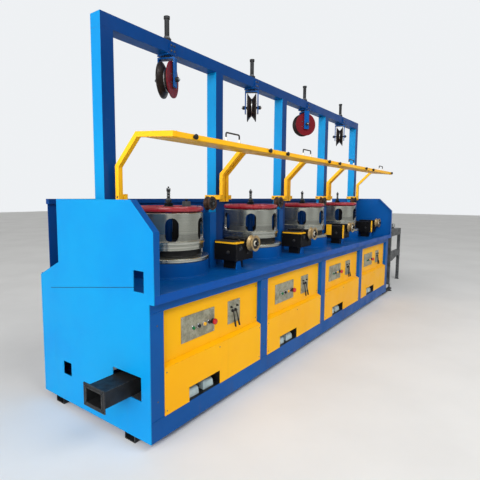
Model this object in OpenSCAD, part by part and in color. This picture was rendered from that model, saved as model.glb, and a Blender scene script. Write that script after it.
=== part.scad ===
/* [Base] */
// length from bay post to bay post along the machine, mm
bay_pitch = 1288; // [1150:2:1450]
// width of each base post along the machine, mm
post_w = 114; // [80:2:140]
// depth of the base from front to rear, mm
base_d = 1230; // [1100:10:1400]
// height of the skids under the base, mm
skid_h = 52; // [30:1:80]
// height of the bottom beams, mm
beam_h = 138; // [100:2:180]
// height of the table surface above the floor, mm
table_z = 966; // [900:2:1050]
// height of the raised lip round the table, mm
lip_h = 42; // [20:1:70]
// how far the lip stands out past the front, mm
lip_out = 42; // [20:1:60]

/* [End guards] */
// height of the end guards above the floor, mm
guard_z = 1584; // [1450:2:1750]
// thickness of the sheet metal, mm
sheet_t = 6; // [4:1:10]

/* [Gantry] */
// side of the square gantry posts, mm
gantry_w = 106; // [80:2:140]
// distance from the near end to the first gantry post, mm
gantry_in = 112; // [60:2:200]
// height of the top of the gantry beam, mm
gantry_z = 2835; // [2500:5:3000]
// height of the gantry beam section, mm
gantry_h = 98; // [80:2:130]

/* [Drums] */
// radius of the winding surface, mm
drum_r = 290; // [240:2:310]
// radius of the bottom flange, mm
flange_r = 338; // [320:2:350]
// radius of the turning ring on top, mm
ring_r = 304; // [280:2:318]
// radius of the upper drum spindle, mm
spindle_r = 25; // [18:1:32]
// number of windows round each drum
windows = 6; // [4:1:8]

/* [Overhead pulleys] */
// radius of the overhead pulley rims, mm
sheave_r = 142; // [110:2:155]
// height of the overhead pulley axles, mm
sheave_z = 2544; // [2480:2:2550]
// width over both rims, mm
sheave_w = 96; // [70:2:110]

/* [Swing guards] */
// side of the square guard tube, mm
tube_w = 36; // [28:2:40]
// height of the guard pivots, mm
pivot_z = 1600; // [1560:5:1640]
// height of the top of the guard rail, mm
rail_z = 2024; // [1950:2:2100]

/* [Hidden] */
$fn = 48;
bays = 4;
run = 0.05;
base_l = bays * bay_pitch + post_w;
x0 = -base_l / 2;
x1 = base_l / 2;
yf = -base_d / 2;
yb = base_d / 2;
bz = skid_h;
bt = skid_h + beam_h;
head_z = table_z - 76;
tray_t = 14;
st_pitch = (base_l - gantry_in - gantry_w) / bays;
function post_x(k) = x0 + k * bay_pitch;
function st_x(k) = x0 + gantry_in + gantry_w / 2 + k * st_pitch;
function drum_x(k) = st_x(k) + st_pitch / 2;
fly_z = table_z + 529;
drum_z0 = table_z + 128;
drum_z1 = fly_z - 6;
pin_r = 12;
bor = 20;
box_w = 268;
box_out = 41;
box_x = st_pitch / 2 + box_out - box_w;
box_d = 240;
box_z = table_z + 79;
box_h = 148;
lid_t = 24;
col_w = 88;
col_x = flange_r + 25 + col_w / 2;
col_y = -112;
col_top = table_z + 500;
guide_z = col_top + 79;
guide_r = 62;
box_y0 = col_y - col_w / 2 - 17 - box_d;
psi = [25, 33, 146, 21];
gof = 30;
stand_x = x1 + 856;
stand_l = 650;
stand_z = table_z + 34;
piv_y = -gantry_w / 2 - 57;
duct_y0 = yf + 190;
duct_w = 166;
duct_z = 312;
duct_h = 108;
duct_out = 216;

// box from a low corner to a high corner
module bx(a, b) {
  translate(a)
    cube([b[0] - a[0], b[1] - a[1], b[2] - a[2]]);
}

// cylinder along Y from y = a to y = b about (x, z)
module cy(x, z, a, b, r) {
  translate([x, b, z])
    rotate([90, 0, 0])
      cylinder(h = b - a, r = r);
}

// cylinder along X from x = a to x = b about (y, z)
module cx(y, z, a, b, r) {
  translate([a, y, z])
    rotate([0, 90, 0])
      cylinder(h = b - a, r = r);
}

// upright cylinder
module cz(x, y, a, b, r) {
  translate([x, y, a])
    cylinder(h = b - a, r = r);
}

// sheet standing across the machine, outline given as (y, z)
module side(x, t, pts) {
  translate([x, 0, 0])
    rotate([90, 0, 90])
      linear_extrude(height = t)
        polygon(pts);
}

module base_frame() {
  color([0.05, 0.35, 0.75]) {
    // skids along the machine
    for (y = [yf + 160, yb - 250])
      difference() {
        bx([x0, y, 0], [x1, y + 100, bz]);
        bx([x0 - 1, y + 6, 6], [x0 + 60, y + 94, bz - 6]);
        bx([x1 - 60, y + 6, 6], [x1 + 1, y + 94, bz - 6]);
      }
    bx([-post_w / 2, yf + 260, 0], [post_w / 2, yb - 250, bz]);
    // bottom beams and cross members
    bx([x0, yf, bz], [x1, yf + 80, bt]);
    bx([x0, yb - 80, bz], [x1, yb, bt]);
    for (k = [0 : bays])
      bx([post_x(k), yf + 80, bz], [post_x(k) + post_w, yb - 80, bt]);
  }
}

module frame_posts() {
  color([0.05, 0.35, 0.75])
    for (k = [0 : bays])
      for (y = [yf, yb - 80])
        bx([post_x(k), y, bt], [post_x(k) + post_w, y + 80, head_z]);
}

module header_rails() {
  color([0.05, 0.35, 0.75]) {
    bx([x0, yf, head_z], [x1, yf + 80, table_z - tray_t]);
    bx([x0, yb - 80, head_z], [x1, yb, table_z - tray_t]);
    for (k = [0 : bays])
      bx([post_x(k), yf + 80, head_z], [post_x(k) + post_w, yb - 80, table_z - tray_t]);
  }
}

module table_top() {
  color([0.05, 0.35, 0.75]) {
    bx([x0, yf - lip_out, table_z - tray_t], [x1, yb, table_z]);
    bx([x0, yf - lip_out, table_z], [x1, yf - lip_out + 26, table_z + lip_h]);
    bx([x0, yb - 60, table_z], [x1, yb, table_z + lip_h]);
  }
}

module near_end_cover() {
  color([0.05, 0.6, 0.95]) {
    difference() {
      side(x0 - sheet_t, sheet_t, [[yf, bz], [yb, bz], [yb, table_z - 80], [yf + 142, table_z - tray_t],
        [yf, table_z - tray_t]]);
      bx([x0 - sheet_t - 1, yf + 852, 262], [x0 + 1, yf + 953, 362]);
      bx([x0 - sheet_t - 1, yf + 84, duct_z], [x0 + 1, yf + 363, 470]);
    }
    difference() {
      side(x0 - sheet_t, sheet_t, [[yf - lip_out, table_z - tray_t], [yf + 142, table_z - tray_t],
        [yb, table_z - 80], [yb, table_z + 30], [yf + 1105, table_z + 90], [yf + 975, table_z + 150],
        [yf + 975, guard_z], [yf + 156, guard_z], [yf - lip_out, guard_z - 192]]);
      bx([x0 - sheet_t - 1, yf + 46, table_z + 50], [x0 + 1, yf + 140, table_z + 184]);
    }
    // flange turned inward along the front edge
    side(x0, 45, [[yf - lip_out, table_z + lip_h], [yf - lip_out + 6, table_z + lip_h],
      [yf - lip_out + 6, guard_z - 194], [yf + 158, guard_z - 6], [yf + 158, guard_z], [yf + 156, guard_z],
      [yf - lip_out, guard_z - 192]]);
  }
}

module far_end_cover() {
  color([0.05, 0.35, 0.75]) {
    side(x1, sheet_t, [[yf, bz], [yb, bz], [yb, table_z - 80], [yf + 142, table_z - tray_t],
      [yf, table_z - tray_t]]);
    difference() {
      side(x1, sheet_t, [[yf - lip_out, table_z - tray_t], [yf + 142, table_z - tray_t],
        [yb, table_z - 80], [yb, table_z + 30], [yf + 1105, table_z + 90], [yf + 975, table_z + 150],
        [yf + 975, guard_z], [yf + 156, guard_z], [yf - lip_out, guard_z - 192]]);
      bx([x1 - 1, yf + 210, table_z + 90], [x1 + sheet_t + 1, yf + 330, table_z + 224]);
    }
    side(x1 - 45, 45, [[yf - lip_out, table_z + lip_h], [yf - lip_out + 6, table_z + lip_h],
      [yf - lip_out + 6, guard_z - 194], [yf + 158, guard_z - 6], [yf + 158, guard_z], [yf + 156, guard_z],
      [yf - lip_out, guard_z - 192]]);
  }
}

module rear_panels() {
  color([0.04, 0.28, 0.62]) {
    // low panels between the rear posts
    for (k = [0 : bays - 1])
      bx([post_x(k) + post_w, yb - 40, bt], [post_x(k + 1), yb - 20, head_z]);
    // splash wall behind the drums, with its top rail
    bx([x0, yf + 1100, table_z], [x1, yf + 1106, guard_z - 40]);
    bx([x0, yf + 1084, guard_z - 40], [x1, yf + 1124, guard_z]);
  }
}

module upper_panels() {
  color([0.95, 0.66, 0.05])
    for (k = [0 : bays - 1])
      bx([post_x(k) + post_w, yf + 40, 480], [post_x(k + 1), yf + 54, head_z]);
}

module lower_panels() {
  color([0.95, 0.66, 0.05])
    for (k = [0 : bays - 1])
      difference() {
        translate([post_x(k) + post_w - 12, 0, 0])
          rotate([90, 0, 90])
            linear_extrude(height = bay_pitch - post_w + 60)
              polygon([[yf - 26, bt], [yf, bt], [yf, 544], [yf - 26, 520]]);
        bx([post_x(k) + 322, yf - 40, bt - 1], [post_x(k) + 672, yf + 1, 318]);
      }
}

module control_plates() {
  for (k = [0 : bays - 1]) {
    color([0.62, 0.62, 0.55]) {
      bx([post_x(k) + 246, yf + 34, 598], [post_x(k) + 560, yf + 40, 800]);
      bx([post_x(k) + 796, yf + 34, 640], [post_x(k) + 920, yf + 40, 838]);
    }
    color([0.1, 0.1, 0.1]) {
      for (i = [0 : 3])
        cy(post_x(k) + 350 + 52 * i, 700, yf + 16, yf + 34, 14);
      for (i = [0 : 1])
        bx([post_x(k) + 838 + 40 * i, yf + 18, 670], [post_x(k) + 850 + 40 * i, yf + 34, 740]);
    }
    color([0.8, 0.1, 0.1])
      cy(post_x(k) + 545, 700, yf + 4, yf + 34, 20);
  }
}

module foot_pedals() {
  color([0.7, 0.76, 0.78])
    for (k = [0 : bays - 1])
      for (i = [0 : 1])
        translate([post_x(k) + 350 + 170 * i, 0, 0])
          rotate([90, 0, 90])
            linear_extrude(height = 120)
              polygon([[yf + 10, bt], [yf + 78, bt], [yf + 78, bt + 96], [yf + 50, bt + 96], [yf + 10, bt + 40]]);
}

module drum_bases() {
  for (k = [0 : bays - 1]) {
    color([0.05, 0.35, 0.75])
      cz(drum_x(k), 0, table_z, drum_z0 - 6, flange_r - 2);
    color([0.15, 0.15, 0.16]) {
      cz(drum_x(k), 0, drum_z0 - 6, drum_z0 - 0.3, 60);
      cz(drum_x(k), 0, drum_z0 - 0.3, fly_z - 0.3, spindle_r + 5 - run);
      cz(drum_x(k), 0, fly_z - 0.3, fly_z + 100, spindle_r - run);
      cz(drum_x(k), 0, fly_z + 100, fly_z + 150, spindle_r + 6);
      cz(drum_x(k), 0, fly_z + 150, fly_z + 186, 18);
    }
  }
}

module drum(k) {
  x = drum_x(k);
  color([0.55, 0.56, 0.55])
    difference() {
      union() {
        cz(x, 0, drum_z0, drum_z0 + 28, flange_r);
        cz(x, 0, drum_z0 + 28, drum_z0 + 84, drum_r - 22);
        cz(x, 0, drum_z0 + 84, drum_z0 + 132, drum_r + 4);
        cz(x, 0, drum_z0 + 132, drum_z0 + 160, drum_r + 9);
        cz(x, 0, drum_z0 + 160, drum_z1, drum_r);
      }
      cz(x, 0, drum_z0 - 1, drum_z1 + 1, spindle_r + 5);
      cz(x, 0, drum_z0 + 120, drum_z1 + 1, drum_r - 20);
      for (i = [0 : windows - 1])
        translate([x, 0, 0])
          rotate([0, 0, -54 + 360 / windows * i]) {
            bx([drum_r - 60, -46, drum_z0 + 216], [drum_r + 40, 46, drum_z0 + 302]);
            cx(0, drum_z0 + 216, drum_r - 60, drum_r + 40, 46);
            cx(0, drum_z0 + 302, drum_r - 60, drum_r + 40, 46);
          }
    }
}

module flyer(k) {
  x = drum_x(k);
  color([0.72, 0.12, 0.16])
    difference() {
      union() {
        difference() {
          cz(x, 0, fly_z, fly_z + 44, ring_r);
          cz(x, 0, fly_z - 1, fly_z + 45, ring_r - 46);
        }
        cz(x, 0, fly_z, fly_z + 80, 50);
        for (i = [0 : 2])
          translate([x, 0, 0])
            rotate([0, 0, 30 + 120 * i])
              bx([40, -16, fly_z + 8], [ring_r - 30, 16, fly_z + 32]);
      }
      cz(x, 0, fly_z - 1, fly_z + 90, spindle_r);
    }
  // small guide eye standing on the ring
  color([0.12, 0.12, 0.12])
    translate([x, 0, 0])
      rotate([0, 0, -60])
        bx([ring_r - 44, -20, fly_z + 44], [ring_r - 10, 20, fly_z + 96]);
}

module die_boxes() {
  for (k = [0 : bays - 1]) {
    x = drum_x(k) + box_x;
    color([0.05, 0.35, 0.75])
      bx([x + 60, box_y0 + 60, table_z], [x + 190, box_y0 + 180, box_z]);
    color([0.05, 0.05, 0.06]) {
      bx([x, box_y0, box_z], [x + box_w, box_y0 + box_d, box_z + box_h]);
      // ears and pin of the lid
      for (e = [x + 20, x + box_w - 50])
        bx([e, box_y0 + box_d, box_z + box_h - 40], [e + 30, box_y0 + box_d + 14, box_z + box_h + 24]);
      cx(box_y0 + box_d + 7, box_z + box_h + 16, x + 50, x + box_w - 50, 5 - run);
      // lug and pin of the inlet roller
      bx([x + 170, box_y0 - 12, box_z + 50], [x + 230, box_y0, box_z + 178]);
      cy(x + 200, box_z + 146, box_y0 - 82, box_y0 - 12, pin_r - run);
      cy(x + 200, box_z + 146, box_y0 - 94, box_y0 - 82, 20);
    }
  }
}

module die_lid(k) {
  x = drum_x(k) + box_x;
  hy = box_y0 + box_d + 7;
  hz = box_z + box_h + 16;
  color([0.98, 0.72, 0.15])
    difference() {
      union() {
        bx([x, box_y0 + 6, box_z + box_h + 0.3], [x + box_w, box_y0 + box_d - 6, box_z + box_h + lid_t]);
        bx([x + 55.3, box_y0 + box_d - 6, hz - 8], [x + box_w - 55.3, hy, hz + 8]);
        cx(hy, hz, x + 55.3, x + box_w - 55.3, 8);
      }
      cx(hy, hz, x + 50, x + box_w - 50, 5);
    }
  color([0.05, 0.05, 0.05])
    cz(x + 70, box_y0 + 36, box_z + box_h + lid_t, box_z + box_h + lid_t + 24, 13);
}

// grooved roller on an axle along Y, from y = a over width w
module vroller(x, a, z, r, w, bore) {
  difference() {
    union() {
      cy(x, z, a, a + w * 0.2, r);
      cy(x, z, a + w * 0.2, a + w * 0.8, r * 0.72);
      cy(x, z, a + w * 0.8, a + w, r);
    }
    cy(x, z, a - 1, a + w + 1, bore);
  }
}

module inlet_roller(k) {
  color([0.8, 0.74, 0.55])
    vroller(drum_x(k) + box_x + 200, box_y0 - 76, box_z + 146, 72, 58, pin_r);
}

module sheave_columns() {
  for (k = [0 : bays - 1]) {
    x = drum_x(k) + col_x;
    color([0.05, 0.35, 0.75]) {
      bx([x - col_w / 2, col_y - col_w / 2, table_z], [x + col_w / 2, col_y + col_w / 2, col_top]);
      bx([x - 30, col_y + 30, col_top], [x + 30, col_y + 44, guide_z + 25]);
    }
    color([0.1, 0.1, 0.1])
      cy(x, guide_z, col_y - 44, col_y + 30, pin_r - run);
  }
}

module guide(k) {
  x = drum_x(k) + col_x;
  color([0.28, 0.16, 0.1])
    vroller(x, col_y - 40, guide_z, guide_r, 64, pin_r);
}

module gantry_posts() {
  color([0.05, 0.5, 0.9])
    for (k = [0 : bays])
      bx([st_x(k) - gantry_w / 2, -gantry_w / 2, table_z],
        [st_x(k) + gantry_w / 2, gantry_w / 2, gantry_z - gantry_h]);
  // brackets and pins that carry the swing guards
  for (k = [0 : bays])
    for (s = [-1, 1])
      if ((k > 0 || s > 0) && (k < bays || s < 0)) {
        color([0.98, 0.78, 0.2])
          bx([st_x(k) + (s > 0 ? gantry_w / 2 : -gantry_w / 2 - 34), piv_y - 22, pivot_z - 20],
            [st_x(k) + (s > 0 ? gantry_w / 2 + 34 : -gantry_w / 2), gantry_w / 2, pivot_z + 20]);
        color([0.1, 0.1, 0.1])
          cx(piv_y, pivot_z, st_x(k) + (s > 0 ? 8 : -gantry_w / 2), st_x(k) + (s > 0 ? gantry_w / 2 : -8), 8 - run);
      }
}

module guard(k) {
  xa = st_x(k) + gof - tube_w / 2;
  xb = st_x(k + 1) - gof - tube_w / 2;
  h = tube_w / 2;
  color([0.98, 0.78, 0.2])
    difference() {
      union() {
        for (x = [xa, xb]) {
          bx([x, piv_y - h, pivot_z - 40], [x + tube_w, piv_y + h, pivot_z + 222]);
          side(x, tube_w, [[piv_y - h, pivot_z + 222], [piv_y + h, pivot_z + 222], [piv_y + h, pivot_z + 230],
            [yf + 396, rail_z], [yf + 378, rail_z - tube_w], [piv_y - h, pivot_z + 224]]);
          side(x, tube_w, [[yf + 0, rail_z - tube_w], [yf + 378, rail_z - tube_w], [yf + 396, rail_z], [yf + 0, rail_z]]);
        }
        bx([xa + tube_w, yf, rail_z - tube_w], [xb, yf + tube_w, rail_z]);
      }
      cx(piv_y, pivot_z, xa - 1, xa + tube_w + 1, 8);
      cx(piv_y, pivot_z, xb - 1, xb + tube_w + 1, 8);
    }
  color([0.06, 0.06, 0.06]) {
    // end knobs and handle
    cy(xa + tube_w + 160, rail_z - h, yf - 20, yf, 16);
    cy(xb - 20, rail_z - h, yf - 20, yf, 16);
    bx([xa + 560, yf + 10, rail_z], [xa + 572, yf + 22, rail_z + 50]);
    bx([xa + 728, yf + 10, rail_z], [xa + 740, yf + 22, rail_z + 50]);
    bx([xa + 560, yf + 10, rail_z + 50], [xa + 740, yf + 22, rail_z + 62]);
  }
}

module gantry_beam() {
  zb = gantry_z - gantry_h;
  color([0.05, 0.35, 0.75])
    difference() {
      union() {
        bx([st_x(0) - gantry_w / 2, -gantry_w / 2, zb], [st_x(bays) + gantry_w / 2, gantry_w / 2, gantry_z]);
        for (k = [0 : bays - 1]) {
          bx([drum_x(k) - 50, -gantry_w / 2 - 10, zb - 12], [drum_x(k) + 50, gantry_w / 2 + 10, zb]);
          bx([drum_x(k) - 32, -gantry_w / 2 - 10, zb], [drum_x(k) + 32, -gantry_w / 2, gantry_z - 22]);
          bx([drum_x(k) - 32, gantry_w / 2, zb], [drum_x(k) + 32, gantry_w / 2 + 10, gantry_z - 22]);
        }
      }
      for (k = [0 : bays - 1])
        cz(drum_x(k), 0, zb - 20, gantry_z + 1, bor);
    }
}

module swivel(k) {
  zt = gantry_z - gantry_h - 12;
  translate([drum_x(k), 0, 0])
    rotate([0, 0, psi[k]]) {
      color([0.05, 0.45, 0.85]) {
        bx([-32, -72, zt - 24], [32, 72, zt - 12]);
        bx([-32, -72, sheave_z - 62], [32, -60, zt - 24]);
        bx([-32, 60, sheave_z - 62], [32, 72, zt - 24]);
      }
      color([0.06, 0.06, 0.07]) {
        cz(0, 0, zt - 12, zt - 0.3, 34);
        cz(0, 0, zt - 0.3, gantry_z + 0.3, bor - run);
        cz(0, 0, gantry_z + 0.3, gantry_z + 28, 34);
        cz(0, 0, gantry_z + 28, gantry_z + 180, 20);
        cz(0, 0, gantry_z + 180, gantry_z + 200, 25);
        cy(0, sheave_z, -60, 60, pin_r - run);
        cy(0, sheave_z, -96, -72, 19);
        cy(0, sheave_z, 72, 96, 19);
      }
    }
}

module pulley(k) {
  w = sheave_w / 2;
  translate([drum_x(k), 0, 0])
    rotate([0, 0, psi[k]]) {
      color([0.2, 0.14, 0.13])
        difference() {
          union() {
            cy(0, sheave_z, -w, -w + 10, sheave_r);
            translate([0, -4, sheave_z])
              rotate([90, 0, 0])
                cylinder(h = w - 14, r1 = sheave_r - 52, r2 = sheave_r - 8);
            cy(0, sheave_z, -4, 4, sheave_r - 52);
            translate([0, 4, sheave_z])
              rotate([-90, 0, 0])
                cylinder(h = w - 14, r1 = sheave_r - 52, r2 = sheave_r - 8);
            cy(0, sheave_z, w - 10, w, sheave_r);
          }
          cy(0, sheave_z, -w - 1, w + 1, pin_r);
        }
    }
}

module cable_duct() {
  a = x0 - duct_out;
  color([0.1, 0.1, 0.12])
    difference() {
      union() {
        bx([a, duct_y0, duct_z], [x0 + 500, duct_y0 + duct_w, duct_z + duct_h]);
        bx([a - 8, duct_y0 - 22, duct_z - 20], [a, duct_y0 + duct_w + 22, duct_z + duct_h + 20]);
      }
      bx([a - 20, duct_y0 + 8, duct_z + 8], [x0 + 501, duct_y0 + duct_w - 8, duct_z + duct_h - 8]);
      for (y = [duct_y0 - 11, duct_y0 + duct_w + 11])
        for (z = [duct_z - 8, duct_z + duct_h + 8])
          cx(y, z, a - 20, a + 20, 6);
    }
}

// dark stand that carries the wire into the machine
module inlet_stand() {
  w = 260;
  y = yf + 170;
  leg = 50;
  deep = 110;
  sunk = 4;
  end = stand_x + stand_l + leg;
  color([0.22, 0.23, 0.24]) {
    // four legs
    for (x = [stand_x, stand_x + stand_l])
      for (v = [y, y + w - leg])
        bx([x, v, 0], [x + leg, v + leg, stand_z - sunk]);
    // top beams with cross pieces, and the table plate on them
    for (v = [y, y + w - leg])
      bx([x1 + sheet_t, v, stand_z - deep], [end, v + leg, stand_z]);
    for (x = [x1 + sheet_t + 100, stand_x, stand_x + stand_l])
      bx([x, y + leg - sunk, stand_z - deep], [x + leg, y + w - leg + sunk, stand_z]);
    bx([x1 + 400, y, stand_z - sunk], [end, y + w, stand_z + 12]);
    // gusseted braces half way up
    for (v = [y, y + w - leg])
      translate([0, v + leg, 0])
        rotate([90, 0, 0])
          linear_extrude(height = leg)
            polygon([[stand_x + leg - sunk, 430], [stand_x + leg + 90, 430], [stand_x + stand_l - 90, 500],
              [stand_x + stand_l + sunk, 430], [stand_x + stand_l + sunk, 600], [stand_x + leg - sunk, 600]]);
    // straightening rollers, staggered
    for (i = [0 : 6]) {
      v = y + w / 2 + 45 * (i % 2 == 0 ? -1 : 1);
      cz(x1 + 460 + 140 * i, v, stand_z, stand_z + 42, 22);
      cz(x1 + 460 + 140 * i, v, stand_z + 40, stand_z + 100, 38);
    }
  }
}

base_frame();
frame_posts();
header_rails();
table_top();
near_end_cover();
far_end_cover();
rear_panels();
upper_panels();
lower_panels();
control_plates();
foot_pedals();
drum_bases();
die_boxes();
sheave_columns();
gantry_posts();
gantry_beam();
cable_duct();
inlet_stand();
drum(0);  // drum_1
drum(1);  // drum_2
drum(2);  // drum_3
drum(3);  // drum_4
flyer(0);  // flyer_1
flyer(1);  // flyer_2
flyer(2);  // flyer_3
flyer(3);  // flyer_4
swivel(0);  // swivel_1
swivel(1);  // swivel_2
swivel(2);  // swivel_3
swivel(3);  // swivel_4
pulley(0);  // pulley_1
pulley(1);  // pulley_2
pulley(2);  // pulley_3
pulley(3);  // pulley_4
guard(0);  // guard_1
guard(1);  // guard_2
guard(2);  // guard_3
guard(3);  // guard_4
guide(0);  // guide_1
guide(1);  // guide_2
guide(2);  // guide_3
guide(3);  // guide_4
inlet_roller(0);  // inlet_roller_1
inlet_roller(1);  // inlet_roller_2
inlet_roller(2);  // inlet_roller_3
inlet_roller(3);  // inlet_roller_4
die_lid(0);  // die_lid_1
die_lid(1);  // die_lid_2
die_lid(2);  // die_lid_3
die_lid(3);  // die_lid_4
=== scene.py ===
"""Looks of the wire drawing machine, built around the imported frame."""
import math

import bmesh
import bpy
from mathutils import Matrix, Vector


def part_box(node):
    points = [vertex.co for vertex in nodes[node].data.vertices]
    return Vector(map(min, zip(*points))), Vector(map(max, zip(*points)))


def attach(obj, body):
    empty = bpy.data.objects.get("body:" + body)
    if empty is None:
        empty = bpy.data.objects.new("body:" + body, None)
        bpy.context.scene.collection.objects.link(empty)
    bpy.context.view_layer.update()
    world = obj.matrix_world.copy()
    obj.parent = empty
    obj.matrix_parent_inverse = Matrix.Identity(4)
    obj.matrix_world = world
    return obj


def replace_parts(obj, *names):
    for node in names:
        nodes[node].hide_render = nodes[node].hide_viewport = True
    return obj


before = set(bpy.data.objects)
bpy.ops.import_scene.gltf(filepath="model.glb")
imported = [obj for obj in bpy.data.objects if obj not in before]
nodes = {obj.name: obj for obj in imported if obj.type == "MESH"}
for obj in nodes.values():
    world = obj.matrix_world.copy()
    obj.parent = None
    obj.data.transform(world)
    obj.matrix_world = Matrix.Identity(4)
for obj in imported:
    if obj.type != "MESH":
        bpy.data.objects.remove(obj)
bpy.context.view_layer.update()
BAYS = range(1, 5)
X, Y, Z = Vector((1, 0, 0)), Vector((0, 1, 0)), Vector((0, 0, 1))


# places and sizes of the machine, in metres, in the shared frame


def centre_of(node):
    """Centre of a CAD node's box."""
    low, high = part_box(node)
    return (low + high) / 2


SKIN = 0.0005  # how far from a surface the tests of dress() still take a face
POSTS_LOW, POSTS_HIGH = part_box("frame_posts")
NEAR, FAR = POSTS_LOW.x, POSTS_HIGH.x
FRONT, REAR = POSTS_LOW.y, POSTS_HIGH.y
POST_W = 0.114
BAY_PITCH = (FAR - NEAR - POST_W) / 4
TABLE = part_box("drum_bases")[0].z
HEAD = POSTS_HIGH.z
BEAM_TOP = POSTS_LOW.z
PANEL_Y = FRONT + 0.04
LEDGE = TABLE - 0.458
LIP_FRONT = FRONT - 0.042
SKID_TOP = 0.052
DRUMS = {i: centre_of(f"drum_{i}") for i in BAYS}
PULLEYS = {i: centre_of(f"pulley_{i}") for i in BAYS}
GUIDES = {i: centre_of(f"guide_{i}") for i in BAYS}
ROLLERS = {i: centre_of(f"inlet_roller_{i}") for i in BAYS}
LIDS = {i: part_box(f"die_lid_{i}") for i in BAYS}
PULLEY_TURN = {i: math.radians(a) for i, a in zip(BAYS, (25, 33, 146, 21))}
DRUM_TURN = {i: math.radians(a) for i, a in zip(BAYS, (-71, -26, -34, -34))}
GANTRY_W = 0.106
GANTRY_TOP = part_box("gantry_beam")[1].z
GANTRY_IN, GANTRY_PITCH = 0.165, 1.262
GANTRY_X = [NEAR + GANTRY_IN + GANTRY_PITCH * k for k in range(5)]
WALL_Y = REAR - 0.13
DRUM_FOOT = TABLE + 0.128
SHELL_R, WALL = 0.290, 0.020
DULL_BAND = (TABLE + 0.288, TABLE + 0.344)
WINDOW_R, WINDOW_Z = 0.054, (TABLE + 0.334, TABLE + 0.417)
RING_Z = TABLE + 0.516
NICHE = (0.353, 0.704)
NICHE_TOP = BEAM_TOP + 0.104
PLATE_TOP = HEAD - 0.102
BOX_W, BOX_FRONT, BOX_BACK = 0.268, -0.413, -0.173
BOX_LOW, BOX_HIGH = TABLE + 0.079, TABLE + 0.227
GUARD_TOP, GUARD_TIP = 2.030, FRONT - 0.034
PIVOT_Y, PIVOT_Z, PIVOT_R = -0.110, 1.600, 0.008


def post_x(k):
    """Near side of base post k, counted from 0."""
    return NEAR + k * BAY_PITCH


def round_z(angle, reach=1.0, rise=0.0):
    """Vector to a point at an angle round an upright line."""
    return Vector((reach * math.cos(angle), reach * math.sin(angle), rise))


def turns(count, start=0.0):
    """Angles of a full turn in equal steps."""
    return [start + math.tau * j / count for j in range(count)]


def around(low_x, high_x, low_y, high_y, z):
    """Corners of a level rectangle."""
    return [(low_x, low_y, z), (high_x, low_y, z), (high_x, high_y, z), (low_x, high_y, z)]


def pulley_axle(i):
    """Direction of a pulley's axle."""
    return round_z(PULLEY_TURN[i] + math.pi / 2)


# camera

IMAGE = 480
FOCAL_PX = 402.68
CENTRE_PX = (219.05, 238.94)
CAMERA_AT = Vector((-4.274, -2.387, 1.6))
YAW, PITCH_DOWN, ROLL = math.radians(37.27), math.radians(-5.91), math.radians(0.19)
SENSOR, CLIP_END = 36.0, 200


def make_camera():
    """Camera at the place and angle from which the photograph was taken."""
    data = bpy.data.cameras.new("camera")
    data.sensor_width = SENSOR
    data.lens = SENSOR * FOCAL_PX / IMAGE
    data.shift_x = (IMAGE / 2 - CENTRE_PX[0]) / IMAGE
    data.shift_y = -(IMAGE / 2 - CENTRE_PX[1]) / IMAGE
    data.clip_end = CLIP_END
    level = math.cos(PITCH_DOWN)
    ahead = Vector((math.cos(YAW) * level, math.sin(YAW) * level, math.sin(PITCH_DOWN)))
    right = Vector((math.sin(YAW), -math.cos(YAW), 0))
    up = right.cross(ahead)
    turned_right = right * math.cos(ROLL) + up * math.sin(ROLL)
    turned_up = up * math.cos(ROLL) - right * math.sin(ROLL)
    axes = Matrix((turned_right, turned_up, -ahead)).transposed().to_4x4()
    camera = bpy.data.objects.new("camera", data)
    camera.matrix_world = Matrix.Translation(CAMERA_AT) @ axes
    bpy.context.scene.collection.objects.link(camera)
    bpy.context.scene.camera = camera


# light and floor


def area_light(name, at, towards, size, power):
    """Soft rectangular lamp that faces a point."""
    data = bpy.data.lights.new(name, "AREA")
    data.shape = "RECTANGLE"
    data.size, data.size_y = size
    data.energy = power
    light = bpy.data.objects.new(name, data)
    light.location = at
    light.rotation_euler = (Vector(towards) - Vector(at)).to_track_quat("-Z", "Y").to_euler()
    bpy.context.scene.collection.objects.link(light)


class NodeTree:
    """Short names for what a tree of shader nodes needs."""

    def __init__(self, tree):
        self.tree = tree

    def put(self, value, socket):
        """Sets a socket to a number or colour, or links it to another socket."""
        if isinstance(value, bpy.types.NodeSocket):
            self.tree.links.new(value, socket)
        else:
            socket.default_value = value

    def add(self, kind, output, inputs=None, **settings):
        """One output of a new node with these settings and inputs, or nothing from a node without one."""
        node = self.tree.nodes.new("ShaderNode" + kind)
        for name, value in settings.items():
            setattr(node, name, value)
        for name, value in (inputs or {}).items():
            self.put(value, node.inputs[name])
        return None if output is None else node.outputs[output]

    def calc(self, how, a, b):
        """One step of arithmetic."""
        return self.add("Math", 0, {0: a, 1: b}, operation=how)

    def times(self, a, b):
        """Product of two values."""
        return self.calc("MULTIPLY", a, b)

    def ground(self, colour, strength):
        """Light from all round."""
        return self.add("Background", 0, {"Color": colour, "Strength": strength})


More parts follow.
